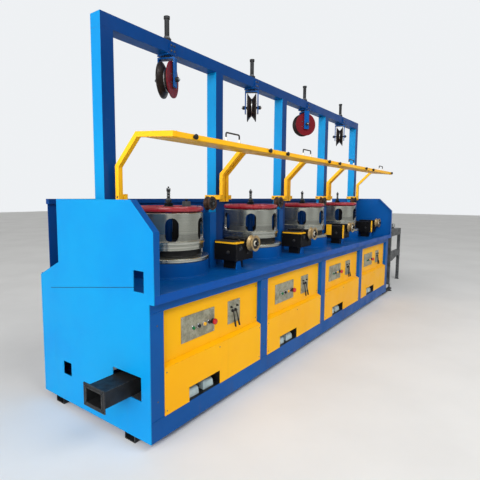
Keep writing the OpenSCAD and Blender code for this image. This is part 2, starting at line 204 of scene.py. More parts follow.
def make_world():
    """Soft light, stronger from the near end of the machine, and a pale ground behind it, which polished
    metal mirrors in soft bands."""
    even, side, narrow = 0.18, 5.6, 4
    bands, shift, depth = 6.5, 0.6, 0.34
    world = bpy.data.worlds.new("studio")
    bpy.context.scene.world = world
    world.use_nodes = True
    t = NodeTree(world.node_tree)
    t.tree.nodes.clear()
    along = t.add("SeparateXYZ", "X", {0: t.add("TexCoord", "Generated")})
    near = t.calc("POWER", t.calc("MAXIMUM", t.times(along, -1.0), 0.0), narrow)
    light = t.ground((1.0, 0.99, 0.97, 1), t.calc("ADD", t.times(near, side), even))
    glossy = t.add("LightPath", "Is Glossy Ray")
    wave = t.calc("SINE", t.calc("ADD", t.times(along, bands), shift), 0.0)
    darker = t.times(t.calc("SUBTRACT", 1.0, wave), depth)
    pale = t.ground((0.86, 0.88, 0.9, 1), t.calc("SUBTRACT", 1.0, t.times(glossy, darker)))
    seen = glossy
    for ray in ("Is Camera Ray", "Is Transmission Ray"):
        seen = t.calc("MAXIMUM", seen, t.add("LightPath", ray))
    t.add("OutputWorld", None, {"Surface": t.add("MixShader", 0, {0: seen, 1: light, 2: pale})})


def make_stage(material):
    """Pale floor under the machine."""
    half = 40.0
    mesh = bpy.data.meshes.new("floor")
    mesh.from_pydata(around(-half, half, -half, half, 0), [], [(0, 1, 2, 3)])
    floor = bpy.data.objects.new("floor", mesh)
    bpy.context.scene.collection.objects.link(floor)
    mesh.materials.append(material)


# material building blocks


class Shade(NodeTree):
    """A material's node tree with one shader, and the patterns that go into it."""

    def __init__(self, name, rough=0.5, metal=0.0, specular=0.5):
        self.material = bpy.data.materials.new(name)
        self.material.use_nodes = True
        super().__init__(self.material.node_tree)
        self.shader = self.tree.nodes["Principled BSDF"]
        for name, value in (("Roughness", rough), ("Metallic", metal), ("Specular IOR Level", specular)):
            self.put(value, self.shader.inputs[name])
        self.place = self.add("TexCoord", "Object")

    def noise(self, scale, detail, stretch=(1, 1, 1), rough=0.55):
        """Noise over the object's coordinates, which can be stretched."""
        place = self.place
        if stretch != (1, 1, 1):
            place = self.add("Mapping", 0, {"Scale": stretch, "Vector": place})
        return self.add("TexNoise", "Fac",
                        {"Scale": scale, "Detail": detail, "Roughness": rough, "Vector": place})

    def cells(self, scale):
        """Distance from the nearest of many scattered points."""
        return self.add("TexVoronoi", "Distance", {"Scale": scale, "Vector": self.place})

    def step(self, value, low, high, to=(0.0, 1.0)):
        """Smooth rise from to[0] at low to to[1] at high."""
        limits = {"From Min": low, "From Max": high, "To Min": to[0], "To Max": to[1], "Value": value}
        return self.add("MapRange", "Result", limits, interpolation_type="SMOOTHSTEP")

    def mix(self, share, a, b):
        """Blend of two colours, each from a node or in sRGB levels."""
        a, b = (srgb(*c) if isinstance(c, tuple) else c for c in (a, b))
        return self.add("Mix", "Result", {"Factor": share, "A": a, "B": b}, data_type="RGBA")

    def layer(self, base, colour, mask, amount):
        """A colour over a base, by the amount where the mask is 1."""
        return self.mix(self.times(mask, amount), base, colour)

    def height(self):
        """Height above the floor, in metres."""
        return self.add("SeparateXYZ", "Z", {0: self.place})

    def rounded(self, radius=0.003):
        """Normal that rounds sharp edges off."""
        return self.add("Bevel", 0, {"Radius": radius}, samples=4)

    def worn_edges(self, radius):
        """1 on sharp outer and inner edges, 0 on flat faces."""
        normals = {0: self.rounded(radius), 1: self.add("NewGeometry", "Normal")}
        return self.step(self.add("VectorMath", "Value", normals, operation="DOT_PRODUCT"), 0.995, 0.86)

    def bump(self, height, strength, distance, under):
        """Normal with a relief on top of another normal."""
        return self.add("Bump", 0, {"Strength": strength, "Distance": distance, "Height": height,
                                    "Normal": under})

    def finish(self, colour, rough=None, normal=None):
        """Feeds the shader, and returns the material."""
        for name, value in (("Base Color", colour), ("Roughness", rough), ("Normal", normal)):
            if value is not None:
                self.put(value, self.shader.inputs[name])
        return self.material


def srgb(r, g, b):
    """Linear colour of sRGB levels from 0 to 255."""
    return tuple(c / 12.92 if c <= 0.04045 else ((c + 0.055) / 1.055) ** 2.4
                 for c in (r / 255, g / 255, b / 255)) + (1.0,)


def paint(name, colour, deep, chip, gloss=0.34, dirt=0.5, shine=0.12):
    """Brushed-on machine paint: uneven tone, dust low down, scuffs, and chips along the edges."""
    s = Shade(name, rough=gloss, specular=shine)
    base = s.layer(colour, deep, s.step(s.noise(1.7, 5), 0.35, 0.68), 0.5)
    streak = s.step(s.noise(2.2, 6, (5, 5, 0.5)), 0.56, 0.76)
    low = s.step(s.height(), 0.75, 0.05)
    grime = s.times(s.calc("ADD", s.times(low, 0.5), 0.12), streak)
    base = s.layer(base, (74, 66, 56), grime, dirt)
    scuff = s.step(s.noise(9, 7, (1, 1, 6), 0.7), 0.66, 0.72)
    base = s.layer(base, (160, 168, 175), scuff, 0.06)
    edge = s.times(s.worn_edges(0.006), s.step(s.noise(26, 6), 0.5, 0.62))
    base = s.layer(base, chip, edge, 0.6)
    rough = s.step(s.noise(5, 4), 0.3, 0.8, (gloss - 0.06, gloss + 0.16))
    normal = s.bump(s.noise(150, 2), 0.10, 0.0012, s.rounded())
    return s.finish(base, rough, s.bump(s.noise(3.1, 3), 0.08, 0.012, normal))


def bare_metal(name, colour, deep, rough, grain, metal):
    """Ground or machined steel with a grain, stains and handling marks."""
    s = Shade(name, rough=rough, metal=metal)
    stain = s.step(s.noise(7, 6), 0.38, 0.7)
    lines = s.noise(6, 4, grain)
    base = s.layer(s.mix(stain, colour, deep), (225, 226, 224), s.step(lines, 0.5, 0.75), 0.25)
    normal = s.bump(lines, 0.12, 0.0008, s.rounded(0.002))
    return s.finish(base, s.step(stain, 0, 1, (rough - 0.08, rough + 0.18)), normal)


def drum_steel():
    """Polished by the wire, with fine turned rings, a dull band below the windows and a bright one under
    it."""
    s = Shade("drum_steel", metal=0.92)
    z = s.height()
    fine = s.noise(5, 5, (0.02, 0.02, 90))
    coarse = s.noise(5, 3, (0.02, 0.02, 16))
    base = s.mix(s.step(fine, 0.4, 0.7), (178, 180, 170), (154, 156, 148))
    base = s.layer(base, (128, 130, 122), s.step(coarse, 0.5, 0.66), 0.4)
    low, high = DULL_BAND
    dull = s.times(s.step(z, high + 0.008, high - 0.008), s.step(z, low - 0.004, low + 0.004))
    pits = s.step(s.cells(110), 0.42, 0.28)
    base = s.layer(base, (84, 84, 78), dull, s.calc("ADD", s.times(pits, 0.25), 0.42))
    wound = s.times(s.step(z, low + 0.004, low - 0.004), s.step(coarse, 0.55, 0.4))
    base = s.layer(base, (216, 218, 208), wound, 0.6)
    rough = s.step(s.noise(9, 3), 0.3, 0.8, (0.19, 0.25))
    rough = s.calc("ADD", rough, s.times(dull, 0.16))
    return s.finish(base, rough, s.bump(coarse, 0.05, 0.0006, s.rounded(0.002)))


def cast(name, colour, deep, rough, metal, grit=0.3, worn=0.5):
    """Rough casting or dusty moulding."""
    s = Shade(name, rough=rough, metal=metal, specular=0.35)
    base = s.mix(s.step(s.noise(11, 6), 0.35, 0.7), colour, deep)
    edge = s.times(s.worn_edges(0.004), s.step(s.noise(40, 5), 0.42, 0.6))
    base = s.layer(base, (150, 148, 145), edge, worn)
    return s.finish(base, s.step(s.noise(20, 4), 0.3, 0.75, (rough - 0.12, rough + 0.12)),
                    s.bump(s.noise(90, 4), grit, 0.0015, s.rounded(0.002)))


def plate_sheet():
    """Grey instrument sheet, mottled by oily hands."""
    s = Shade("plate_sheet", rough=0.5, metal=0.3, specular=0.35)
    base = s.mix(s.step(s.noise(16, 6, rough=0.7), 0.4, 0.64), (164, 163, 144), (128, 127, 108))
    base = s.layer(base, (92, 90, 76), s.step(s.noise(60, 5), 0.56, 0.7), 0.4)
    return s.finish(base, s.step(s.noise(30, 3), 0.3, 0.8, (0.36, 0.6)),
                    s.bump(s.noise(140, 3), 0.12, 0.0008, s.rounded(0.001)))


def floor_material():
    """Pale screed, faintly mottled."""
    s = Shade("floor_screed", rough=0.75, specular=0.2)
    return s.finish(s.mix(s.step(s.noise(0.8, 5), 0.3, 0.7), (236, 237, 237), (229, 230, 230)))


MATERIALS = {
    "blue": paint("blue_paint", (3, 84, 160), (2, 70, 138), (70, 104, 150)),
    # painted light: a lighter copy of the frame blue for the faces that look towards the near end, where the
    # light is strongest
    "lit_blue": paint("end_blue_paint", (3, 142, 204), (3, 124, 198), (60, 110, 160), dirt=0.12),
    # painted shade: a darker copy of the frame blue for the front faces of the gantry, the wall between the
    # drums and the spindle inside each drum
    "shaded_blue": paint("dark_blue_paint", (4, 62, 128), (3, 50, 108), (40, 52, 70)),
    # painted shade: a slightly deeper, cleaner copy of the frame blue for the front face of the table's lip
    "shaded_lip_blue": paint("lip_blue_paint", (1, 80, 166), (1, 64, 140), (60, 84, 130), dirt=0.2),
    "yellow": paint("yellow_paint", (253, 186, 8), (248, 170, 4), (150, 110, 50), dirt=0.1),
    "guard": paint("guard_paint", (254, 192, 34), (250, 178, 24), (160, 116, 48), dirt=0.12),
    "red": paint("red_paint", (172, 36, 48), (132, 24, 34), (176, 150, 146), 0.24, 0.15, 0.6),
    "black": paint("black_paint", (20, 20, 22), (11, 11, 12), (104, 104, 104), 0.4, 0.3),
    "drum": drum_steel(),
    "inner": cast("drum_inside", (22, 22, 24), (12, 12, 14), 0.7, 0.0),
    "groove": cast("wire_groove", (26, 27, 25), (13, 14, 13), 0.45, 0.3),
    "plate": plate_sheet(),
    "pedal": cast("pedal_alloy", (190, 210, 214), (164, 184, 188), 0.45, 0.3),
    # dark steel, and also painted shade on the skids under the base
    "dark": cast("dark_steel", (40, 42, 44), (27, 28, 30), 0.55, 0.3),
    "grey": cast("grey_steel", (92, 94, 96), (64, 66, 68), 0.5, 0.4),
    "iron": cast("dark_iron", (52, 44, 42), (32, 28, 28), 0.45, 0.4),
    "disc": paint("disc_paint", (112, 22, 32), (78, 16, 24), (60, 50, 50), 0.42, 0.2),
    "brass": cast("roller_brass", (176, 152, 108), (140, 118, 80), 0.35, 0.4, 0.15),
    "nylon": cast("roller_nylon", (226, 222, 206), (200, 194, 172), 0.4, 0.0, 0.15),
    "brown": cast("roller_brown", (84, 58, 42), (52, 37, 29), 0.4, 0.35),
    # black rubber, and also painted shade on the inside of the pedal niches
    "rubber_and_shade": cast("black_rubber", (18, 18, 19), (10, 10, 11), 0.5, 0.0, 0.2, 0.2),
    "bright": bare_metal("bright_steel", (200, 202, 202), (160, 160, 158), 0.22, (1, 1, 40), 1.0),
    "bolt": bare_metal("bolt_steel", (110, 112, 114), (74, 75, 77), 0.35, (20, 20, 20), 0.9),
    "white": cast("white_sleeve", (232, 232, 228), (214, 214, 208), 0.4, 0.0, 0.1),
    "green_cap": cast("green_cap", (22, 112, 62), (16, 92, 48), 0.3, 0.0, 0.05, 0.2),
    "red_cap": cast("red_cap", (204, 44, 44), (180, 30, 32), 0.3, 0.0, 0.05, 0.2),
    "amber_cap": cast("amber_cap", (238, 180, 40), (216, 156, 30), 0.3, 0.0, 0.05, 0.2),
    "seam": cast("seam_shadow", (4, 60, 96), (3, 44, 76), 0.7, 0.0, 0.1, 0.0),
}


# finishes of the CAD nodes


def dress(node, base, *rules):
    """Gives a CAD node its materials: a base finish, then (name, test) for the faces whose centre passes
    the test."""
    mesh = nodes[node].data
    mesh.materials.clear()
    mesh.materials.append(MATERIALS[base])
    for name, test in rules:
        mesh.materials.append(MATERIALS[name])
        for face in mesh.polygons:
            if test(face.center):
                face.material_index = len(mesh.materials) - 1


def off_post(p, side=0.0):
    """Distance along the machine from the middle of the nearest gantry post, or from a side of it."""
    return min(abs(p.x - x - side) for x in GANTRY_X)


def dress_frame():
    """Finishes of the fixed nodes."""
    front, beside = SKIN - GANTRY_W / 2, GANTRY_W / 2 + SKIN
    pin_top, pin_front, rollers = TABLE + 0.5, -0.0821, TABLE + 0.0735
    bracket_low, bracket_high = PIVOT_Z - 0.1, PIVOT_Z + 0.0201
    touch = 0.0001
    # painted shade: the skids under the base beam in dark steel, for the shade beneath the machine
    dress("base_frame", "blue", ("dark", lambda p: p.z < SKID_TOP - SKIN))
    # painted shade on the front face of the lip
    dress("table_top", "blue", ("shaded_lip_blue", lambda p: p.y < LIP_FRONT + SKIN))
    # painted shade on the front faces of the beam, painted light on its near end
    dress("gantry_beam", "blue", ("shaded_blue", lambda p: p.y < front),
          ("lit_blue", lambda p: p.x < GANTRY_X[0] + front))
    # painted light on the outward face of the near end cover; its other faces keep the frame blue
    dress("near_end_cover", "lit_blue", ("blue", lambda p: p.x > NEAR + SKIN))
    dress("sheave_columns", "blue", ("dark", lambda p: p.z > pin_top and p.y < pin_front))
    # painted shade on the front faces of the posts, painted light on their sides towards the near end
    dress("gantry_posts", "blue",
          ("shaded_blue", lambda p: p.y < front),
          ("lit_blue", lambda p: off_post(p, -GANTRY_W / 2) < SKIN),
          ("guard", lambda p: bracket_low < p.z < bracket_high and (-p.y > beside or off_post(p) > beside)),
          ("bolt", lambda p: math.hypot(p.y - PIVOT_Y, p.z - PIVOT_Z) < PIVOT_R + touch
           and abs(p.z - PIVOT_Z) > touch))
    dress("inlet_stand", "grey", ("bright", lambda p: p.z > rollers))
    # the rear panels take the darker blue as painted shade between the drums
    for name, finish in (("frame_posts", "blue"), ("header_rails", "blue"), ("far_end_cover", "blue"),
                         ("drum_bases", "blue"), ("rear_panels", "shaded_blue"), ("upper_panels", "yellow"),
                         ("lower_panels", "yellow"), ("control_plates", "plate"), ("foot_pedals", "pedal"),
                         ("cable_duct", "dark"), ("die_boxes", "black")):
        dress(name, finish)


def dress_moving():
    """Finishes of the moving nodes."""
    neck, bridge = GANTRY_TOP - 0.1221, 0.02
    cheek_in, cheek_out = 0.0595, 0.0722
    disc_face, hub_r = 0.0379, 0.05
    for i in BAYS:
        hub, axle = PULLEYS[i], pulley_axle(i)
        fore = 1 if axle.y < 0 else -1
        red_disc = i in (1, 3)

        def along(p):
            return (p - hub).dot(axle)

        dress(f"swivel_{i}", "blue",
              ("dark", lambda p: p.z > neck),
              ("dark", lambda p: abs(along(p)) > cheek_out
               or (abs(along(p)) < cheek_in and p.z < hub.z + bridge)))
        dress(f"pulley_{i}", "iron",
              ("disc", lambda p: red_disc and along(p) * fore > disc_face and (p - hub).length > hub_r))
        for name, finish in (("drum", "drum"), ("flyer", "red"), ("guard", "guard"), ("guide", "brown"),
                             ("inlet_roller", "brass"), ("die_lid", "black")):
            dress(f"{name}_{i}", finish)


# mesh building blocks


SHARP = math.radians(32)  # edges sharper than this aren't shaded smooth


def square_to(axis):
    """Two directions at right angles to an axis and to each other."""
    other = X if abs(axis.x) < 0.8 else Y
    first = axis.cross(other).normalized()
    return first, axis.cross(first).normalized()


class Piece:
    """Mesh parts that are gathered into one piece of the scene."""

    def __init__(self, *finishes):
        self.mesh = bmesh.new()
        self.finishes = finishes

    def loft(self, rings, finish=0, closed=False, caps=True):
        """Skin over rings of points. An open run of rings gets a cap at both ends, unless told otherwise."""
        rows = [[self.mesh.verts.new(p) for p in ring] for ring in rings]
        count = len(rows[0])
        pairs = list(zip(rows, rows[1:])) + ([(rows[-1], rows[0])] if closed else [])
        for low, high in pairs:
            for j in range(count):
                k = (j + 1) % count
                self.mesh.faces.new((low[j], low[k], high[k], high[j])).material_index = finish
        if caps and not closed:
            self.mesh.faces.new(rows[0]).material_index = finish
            self.mesh.faces.new(rows[-1]).material_index = finish

    def turned(self, at, axis, profile, sides, finish=0, phase=0.0, caps=True):
        """Turned part. The profile lists (radius, distance along the axis)."""
        at = Vector(at)
        u, v = square_to(axis)
        angles = turns(sides, phase)
        self.loft([[at + axis * h + (u * math.cos(a) + v * math.sin(a)) * r for a in angles]
                   for r, h in profile], finish, caps=caps)

    def lathe(self, at, axis, section, sides, finish=0):
        """Turned part with a hole, from a closed section of (radius, distance along the axis)."""
        at = Vector(at)
        u, v = square_to(axis)
        rings = []
        for a in turns(sides):
            way = u * math.cos(a) + v * math.sin(a)
            rings.append([at + way * r + axis * h for r, h in section])
        self.loft(rings, finish, closed=True)

    def across(self, x0, x1, outline):
        """Solid along the machine, from its outline of (y, z)."""
        self.loft([[(x, y, z) for y, z in outline] for x in (x0, x1)])

    def ring(self, at, axis, inner, outer, thick, sides, finish=0):
        """Round-edged flat ring, such as a bezel or a seal."""
        edge = min(thick, outer - inner) * 0.3
        self.lathe(at, axis, [(inner, 0), (outer, 0), (outer, thick - edge), (outer - edge, thick),
                              (inner + edge, thick), (inner, thick - edge)], sides, finish)

    def bolt(self, at, axis, size, finish=0, washer=True):
        """Hexagon head of a screw with its washer. The size is the screw's diameter."""
        base = size * 0.16 if washer else 0.0
        if washer:
            disc = [(size * 1.05, 0), (size * 1.05, base * 0.7), (size * 0.98, base)]
            self.turned(at, axis, disc, 20, finish)
        head = [(size * 0.9, base), (size * 0.9, base + size * 0.5), (size * 0.78, base + size * 0.62)]
        self.turned(at, axis, head, 6, finish)

    def screw(self, at, axis, size, finish=0):
        """Pan head of a small screw, with a dip in its top."""
        head = ((1, 0), (1, 0.25), (0.8, 0.5), (0.45, 0.6), (0.3, 0.45))
        self.turned(at, axis, [(size * r, size * h) for r, h in head], 14, finish)

    def bar(self, low, high, bevel, finish=0, turn=0.0, about=None):
        """Box with chamfered edges, turned by an angle about an upright line."""
        low, high = Vector(low), Vector(high)
        b = min(bevel, *((high - low) * 0.45))
        pivot = about if about is not None else (low + high) / 2
        spin = Matrix.Translation(pivot) @ Matrix.Rotation(turn, 4, "Z") @ Matrix.Translation(-pivot)
        rings = []
        for z, inset in ((low.z, b), (low.z + b, 0), (high.z - b, 0), (high.z, b)):
            x0, x1, y0, y1 = low.x + inset, high.x - inset, low.y + inset, high.y - inset
            corners = [(x0 + b, y0), (x1 - b, y0), (x1, y0 + b), (x1, y1 - b), (x1 - b, y1), (x0 + b, y1),
                       (x0, y1 - b), (x0, y0 + b)]
            rings.append([spin @ Vector((x, y, z)) for x, y in corners])
        self.loft(rings, finish)

    def tube(self, points, radius, sides=8, finish=0, closed=False, wave=0.0):
        """Round bar along points. A wave makes it as uneven as a weld."""
        points = [Vector(p) for p in points]
        count = len(points)
        rings = []
        side = None
        for j, p in enumerate(points):
            before = points[j - 1] if closed or j else p
            after = points[(j + 1) % count] if closed or j < count - 1 else p
            way = (after - before).normalized()
            if side is None:
                side = square_to(way)[0]
            side = (side - way * side.dot(way)).normalized()
            up = way.cross(side)
            r = radius * (1 + wave * math.sin(2.3 * j))
            rings.append([p + (side * math.cos(a) + up * math.sin(a)) * r for a in turns(sides)])
        self.loft(rings, finish, closed)

    def weld(self, points, radius=0.004, closed=False):
        """Bead of weld along straight stretches between points."""
        step, sides, wave = 0.012, 6, 0.14
        route = []
        stops = list(points) + ([points[0]] if closed else [])
        for a, b in zip(stops, stops[1:]):
            a, b = Vector(a), Vector(b)
            steps = max(2, int((b - a).length / step))
            route += [a.lerp(b, j / steps) for j in range(steps)]
        if not closed:
            route.append(Vector(stops[-1]))
        self.tube(route, radius, sides, closed=closed, wave=wave)

    def done(self, name, body):
        """Turns the gathered parts into one object that rides on a body."""
        bmesh.ops.recalc_face_normals(self.mesh, faces=self.mesh.faces)
        mesh = bpy.data.meshes.new(name)
        for face in self.mesh.faces:
            face.smooth = True
        self.mesh.to_mesh(mesh)
        self.mesh.free()
        mesh.set_sharp_from_angle(angle=SHARP)
        for finish in self.finishes:
            mesh.materials.append(MATERIALS[finish])
        piece = bpy.data.objects.new(name, mesh)
        bpy.context.scene.collection.objects.link(piece)
        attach(piece, body)
        return piece

    def stand_for(self, node, name, body):
        """The same, for a piece that takes the place of a plainer CAD node."""
        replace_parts(self.done(name, body), node)


# pieces on the fixed frame


def frame_welds():
    """Weld beads under the posts, columns and housings on the table, and at the ends of the base posts."""
    p = Piece("blue")
    half = GANTRY_W / 2
    for x in GANTRY_X:
        p.weld(around(x - half, x + half, -half, half, TABLE + 0.001), closed=True)
    for i in BAYS:
        x, y, reach = GUIDES[i].x, -0.112, 0.044
        p.weld(around(x - reach, x + reach, y - reach, y + reach, TABLE + 0.001), closed=True)
        route = [X * DRUMS[i].x + round_z(a, 0.339, TABLE + 0.001) for a in turns(96)]
        p.tube(route, 0.004, 6, closed=True, wave=0.12)
    for k in range(5):
        x, y = post_x(k), FRONT - 0.0005
        for z in (HEAD, BEAM_TOP):
            p.weld([(x, y, z), (x + POST_W, y, z)], 0.0035)
    p.done("frame_welds", "frame")


def panel_screws():
    """Small screws of the folded panels, the front posts and the plain panels at the rear."""
    p = Piece("bolt")
    for k in range(4):
        a, b = post_x(k) + POST_W, post_x(k + 1)
        for x in (a + 0.022, b - 0.022):
            for z in (LEDGE + 0.055, HEAD - 0.05):
                p.screw((x, PANEL_Y, z), -Y, 0.005)
            for z in (BEAM_TOP + 0.03, LEDGE - 0.03):
                p.screw((x, FRONT - 0.002, z), -Y, 0.005)
            for z in (BEAM_TOP + 0.03, 0.54, HEAD - 0.03):
                p.screw((x, REAR - 0.02, z), Y, 0.006)
        p.screw(((a + b) / 2, FRONT - 0.002, LEDGE - 0.03), -Y, 0.005)
    for k in range(5):
        x = post_x(k) + POST_W / 2
        for z in (BEAM_TOP + 0.12, HEAD - 0.085):
            p.screw((x, FRONT, z), -Y, 0.006)
    p.done("panel_screws", "frame")


def end_seams():
    """Seam between the two sheets of each end plate, and the screws of the far one."""
    p = Piece("seam", "bolt")
    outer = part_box("far_end_cover")[1].x
    for x in (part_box("near_end_cover")[0].x + 0.0012, outer - 0.0012):
        p.tube([(x, -0.478, 1.0415), (x, 0.475, 0.908)], 0.0026)
    for y in (-0.52, -0.3, -0.06, 0.18, 0.42):
        p.screw((outer, y, 0.86), X, 0.006, 1)
        p.screw((outer, y, BEAM_TOP - 0.04), X, 0.006, 1)
    p.done("end_seams", "frame")


def control_panels():
    """Instrument plates with their buttons and levers. They stand for the CAD plates."""
    p = Piece("bright", "rubber_and_shade", "green_cap", "amber_cap", "red_cap", "plate")
    row = PLATE_TOP - 0.098
    face = PANEL_Y - 0.005
    bezel = [(0.0175, 0), (0.0175, 0.006), (0.0150, 0.008), (0.0131, 0.008)]
    cap = [(0.0128, 0.006), (0.0128, 0.018), (0.0108, 0.0202), (0.006, 0.0212)]
    knob = [(0.009, 0), (0.009, 0.004), (0.0065, 0.006), (0.0065, 0.014), (0.0045, 0.017)]
    for k in range(4):
        x = post_x(k)
        for a, b in ((0.315, 0.680), (0.853, 1.018)):
            p.bar((x + a, face, PLATE_TOP - 0.184), (x + b, PANEL_Y, PLATE_TOP), 0.001, 5)
            for u in (a + 0.012, b - 0.012):
                for z in (PLATE_TOP - 0.012, PLATE_TOP - 0.172):
                    p.screw((x + u, face, z), -Y, 0.0045)
        for u, colour in ((0.430, 2), (0.491, 1), (0.554, 3), (0.606, 1)):
            p.turned((x + u, face, row), -Y, bezel, 24)
            p.turned((x + u, face, row), -Y, cap, 24, colour)
        at = (x + 0.656, face, row - 0.006)
        p.turned(at, -Y, [(0.020, 0), (0.020, 0.004), (0.015, 0.006), (0.011, 0.008), (0.011, 0.020)], 24, 1)
        p.turned(at, -Y, [(0.0212, 0.018), (0.0222, 0.022), (0.0222, 0.029), (0.0195, 0.034), (0.012, 0.0368),
                          (0.004, 0.0378)], 28, 4)
        for u in (0.892, 0.972):
            p.turned((x + u, face, PLATE_TOP - 0.050), -Y, knob, 18, 1)
        for u, lean in ((0.910, 0.016), (0.950, 0.030)):
            hub = Vector((x + u, face, PLATE_TOP - 0.082))
            p.turned(hub, -Y, [(0.013, 0), (0.013, 0.008), (0.009, 0.010), (0.009, 0.016)], 20, 1)
            start, end = hub - Y * 0.012, hub + Vector((lean, -0.024, -0.130))
            p.tube([start, start.lerp(end, 0.5), start.lerp(end, 0.6)], 0.0042, 10, 1)
            p.tube([start.lerp(end, 0.58), start.lerp(end, 0.64), start.lerp(end, 0.96), end], 0.0072, 10, 1)
    p.stand_for("control_plates", "control_panels", "frame")


def pedals():
    """Tapered foot pedals with tread ribs and hinge pins. They stand for the CAD pedals."""
    p = Piece("pedal", "bolt")
    levels = ((0.0, 0.0, 0.028, 0.100), (0.042, 0.003, 0.032, 0.099), (0.058, 0.010, 0.042, 0.098),
              (0.066, 0.020, 0.054, 0.095))
    for k in range(4):
        for i in range(2):
            x = post_x(k) + 0.378 + 0.168 * i
            rings = []
            for rise, inset, front, back in levels:
                a, b, c, d, cut = x + inset, x + 0.116 - inset, FRONT + front, FRONT + back, 0.005
                outline = [(a + cut, c), (b - cut, c), (b, c + cut), (b, d - cut), (b - cut, d), (a + cut, d),
                           (a, d - cut), (a, c + cut)]
                rings.append([(u, v, BEAM_TOP + 0.0016 + rise) for u, v in outline])
            p.loft(rings)
            for j in range(5):
                u = x + 0.026 + 0.0138 * j
                p.bar((u, FRONT + 0.058, BEAM_TOP + 0.067),
                      (u + 0.006, FRONT + 0.091, BEAM_TOP + 0.0705), 0.001)
            for side in (-1, 1):
                at = (x + 0.058 + side * 0.056, FRONT + 0.082, BEAM_TOP + 0.018)
                p.turned(at, X * side, [(0.008, 0), (0.008, 0.012), (0.006, 0.014)], 16, 1)
    p.stand_for("foot_pedals", "pedals", "frame")


def panel_trays():
    """Folded lower panels with their sloping ledge and the niche, whose walls, roof and floor are painted
    black as painted shade. They stand for the CAD panels.
    """
    p = Piece("yellow", "rubber_and_shade")
    front, back, sheet, low = FRONT - 0.002, FRONT + 0.106, 0.004, BEAM_TOP + 0.0005
    behind, inside, top, roof = front + sheet, PANEL_Y - 0.002, LEDGE + 0.018, NICHE_TOP + sheet
    for k in range(4):
        a, b = post_x(k) + POST_W + 0.003, post_x(k + 1) - 0.003
        left, right = post_x(k) + NICHE[0], post_x(k) + NICHE[1]
        outline = [(a, low), (left, low), (left, NICHE_TOP), (right, NICHE_TOP), (right, low), (b, low),
                   (b, LEDGE), (a, LEDGE)]
        p.loft([[(x, y, z) for x, z in outline] for y in (front, behind)])
        p.across(a, b, [(front, LEDGE), (PANEL_Y, top), (PANEL_Y, top - sheet), (behind, LEDGE - sheet)])
        for x in (a, b - sheet):
            p.across(x, x + sheet, [(behind, low), (inside, low), (inside, top - 0.005),
                                    (behind, LEDGE - 0.005)])
        # walls, roof and floor of the niche in black: painted shade inside the recess
        p.bar((left - sheet, back, low), (right + sheet, back + sheet, roof), 0.0005, 1)
        p.bar((left - sheet, behind, low), (left, back, NICHE_TOP), 0.0005, 1)
        p.bar((right, behind, low), (right + sheet, back, NICHE_TOP), 0.0005, 1)
        p.bar((left - sheet, behind, NICHE_TOP), (right + sheet, back, roof), 0.0005, 1)
        p.bar((left, FRONT + 0.003, low), (right, back, low + 0.001), 0.0003, 1)
    p.stand_for("lower_panels", "panel_trays", "frame")


def gantry_bolts():
    """Bolts of the pulley clamps on the beam and of the guard brackets on the posts."""
    p = Piece("bolt")
    half = GANTRY_W / 2
    for i in BAYS:
        x = DRUMS[i].x
        for y, way in ((-half - 0.010, -Y), (half + 0.010, Y)):
            for dx in (-0.017, 0.017):
                for z in (GANTRY_TOP - 0.038, GANTRY_TOP - 0.078):
                    p.bolt((x + dx, y, z), way, 0.008)
        for dx in (-0.041, 0.041):
            for y in (-half - 0.001, half + 0.001):
                p.bolt((x + dx, y, GANTRY_TOP - 0.098), Z, 0.007)
    brackets = [(x, s) for x in GANTRY_X for s in (-1, 1)][1:-1]  # none on the outer sides
    for post, s in brackets:
        for y in (-0.03, 0.03):
            p.bolt((post + s * (half + 0.034), y, PIVOT_Z), X * s, 0.009)
    p.done("gantry_bolts", "frame")


def box_fittings():
    """Screws, latch, tap and foot of the die boxes, the yellow strips of the far two, and the nuts of the
    roller axles."""
    p = Piece("bolt", "dark", "blue", "guard")
    for i in BAYS:
        x, y = LIDS[i][0].x, BOX_FRONT
        if i > 2:
            p.bar((x, y - 0.012, BOX_LOW + 0.002), (x + 0.034, y, BOX_HIGH + 0.036), 0.001, 3)
        if i == 3:
            p.bar((x - 0.018, -0.262, BOX_LOW + 0.040), (x - 0.006, -0.190, BOX_HIGH + 0.036), 0.001, 3)
            p.bar((x - 0.006, -0.250, BOX_LOW + 0.050), (x, -0.200, BOX_HIGH - 0.020), 0.001, 3)
        for u in (x + 0.014, x + 0.130, x + 0.254):
            for z in (BOX_LOW + 0.014, BOX_HIGH - 0.014):
                p.screw((u, y, z), -Y, 0.005, 1)
        p.bar((x + 0.046, y - 0.006, BOX_HIGH - 0.060), (x + 0.082, y, BOX_HIGH - 0.012), 0.0015, 1)
        bow = [(0.050, 0.006, 0.052), (0.050, 0.013, 0.046), (0.064, 0.014, 0.024), (0.078, 0.013, 0.046),
               (0.078, 0.006, 0.052)]
        p.tube([(x + u, y - out, BOX_HIGH - down) for u, out, down in bow], 0.0022)
        p.turned((x, y + 0.085, BOX_LOW + 0.072), -X,
                 [(0.0172, 0), (0.0172, 0.006), (0.0145, 0.008), (0.0145, 0.018), (0.010, 0.020)], 6, 1)
        foot = ((0.012, TABLE), (0.092, TABLE), (0.070, BOX_LOW), (0.030, BOX_LOW))
        p.loft([[(x + u, v, h) for u, h in foot] for v in (y + 0.004, y + 0.018)], 2)
        p.bolt((ROLLERS[i].x, y - 0.094, ROLLERS[i].z), -Y, 0.011, washer=False)
        p.bolt((GUIDES[i].x, -0.156, GUIDES[i].z), -Y, 0.012)
        p.bolt((GUIDES[i].x, -0.068, GUIDES[i].z), Y, 0.013)
    p.done("box_fittings", "frame")


